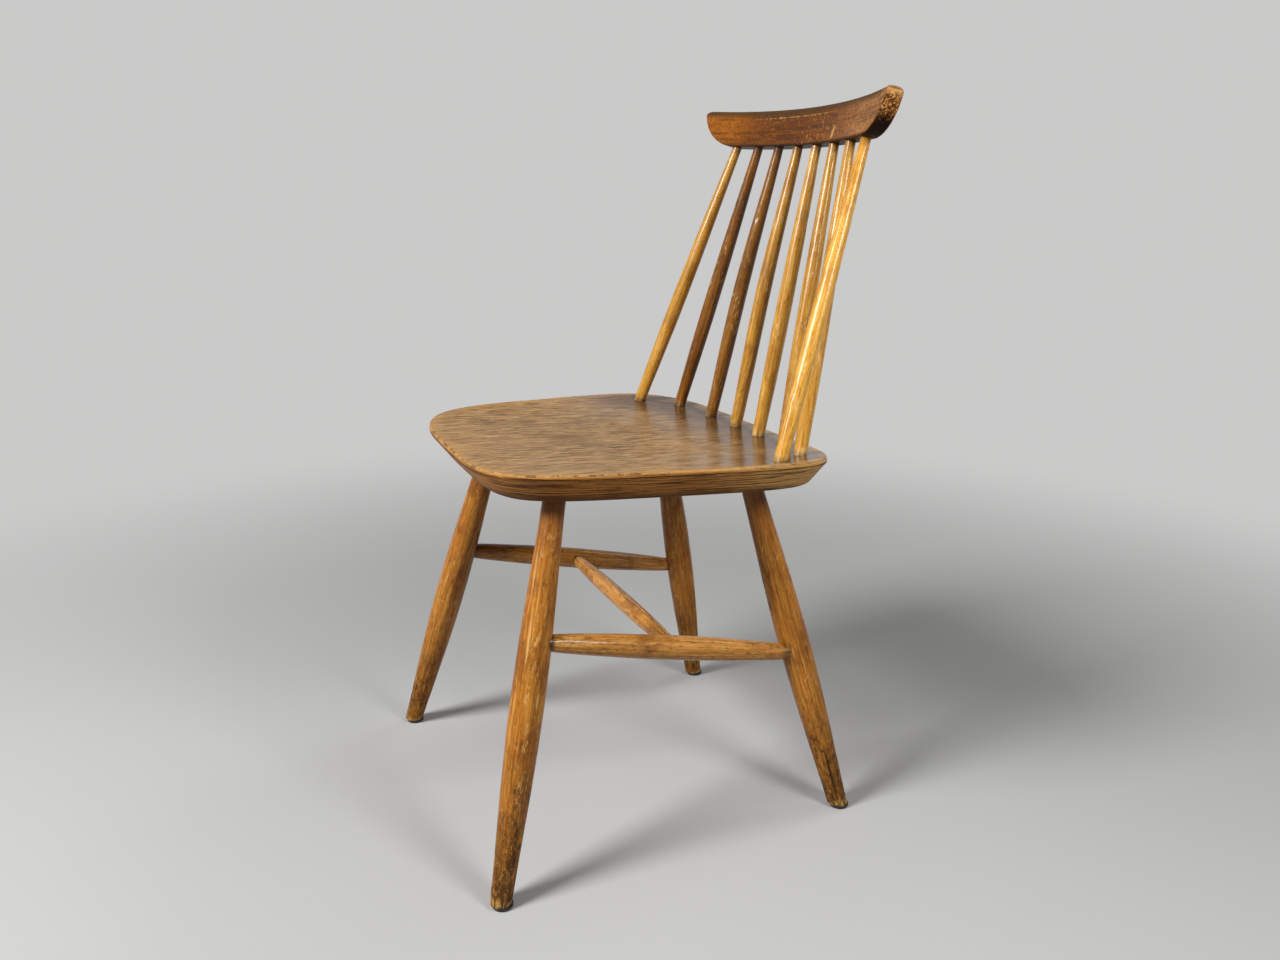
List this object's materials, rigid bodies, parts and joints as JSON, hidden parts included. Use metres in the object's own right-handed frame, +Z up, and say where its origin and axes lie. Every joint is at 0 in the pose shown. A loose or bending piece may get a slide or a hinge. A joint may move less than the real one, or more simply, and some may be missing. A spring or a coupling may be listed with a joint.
{
  "type": "spindle-back wooden side chair",
  "caption": "Side chair with a dished, laminated wooden seat on raked turned legs braced by stretchers, and a fan of turned spindles under a curved crest rail.",
  "frame": {"origin": "on the floor, under the middle of the chair's box", "axes": "+Z up; the front of the chair faces -Y; the sitter's left is +X"},
  "size_m": [0.4542, 0.4946, 0.8113],
  "materials": {
    "seat_panel": "worn, greyed clear varnish over a laminated panel",
    "leg_wood": "worn honey-brown varnish, dirty near the floor",
    "stretcher_wood": "worn glossy honey-brown varnish",
    "spindle_wood": "glossy golden varnish",
    "crest_wood": "red-brown varnish with hand grime along the top",
    "glide_plastic": "black moulded plastic",
    "nail_steel": "plain steel"
  },
  "bodies": {
    "root": {"seat": "seat_panel", "front_left_leg": "leg_wood", "front_right_leg": "leg_wood", "rear_left_leg": "leg_wood", "rear_right_leg": "leg_wood", "left_side_stretcher": "stretcher_wood", "right_side_stretcher": "stretcher_wood", "cross_stretcher": "stretcher_wood", "spindle_1": "spindle_wood", "spindle_2": "spindle_wood", "spindle_3": "spindle_wood", "spindle_4": "spindle_wood", "spindle_5": "spindle_wood", "spindle_6": "spindle_wood", "spindle_7": "spindle_wood", "spindle_8": "spindle_wood", "crest_rail": "crest_wood", "front_left_glide": "glide_plastic", "front_right_glide": "glide_plastic", "rear_left_glide": "glide_plastic", "rear_right_glide": "glide_plastic", "glide_nails": "nail_steel"}
  },
  "joints": []
}
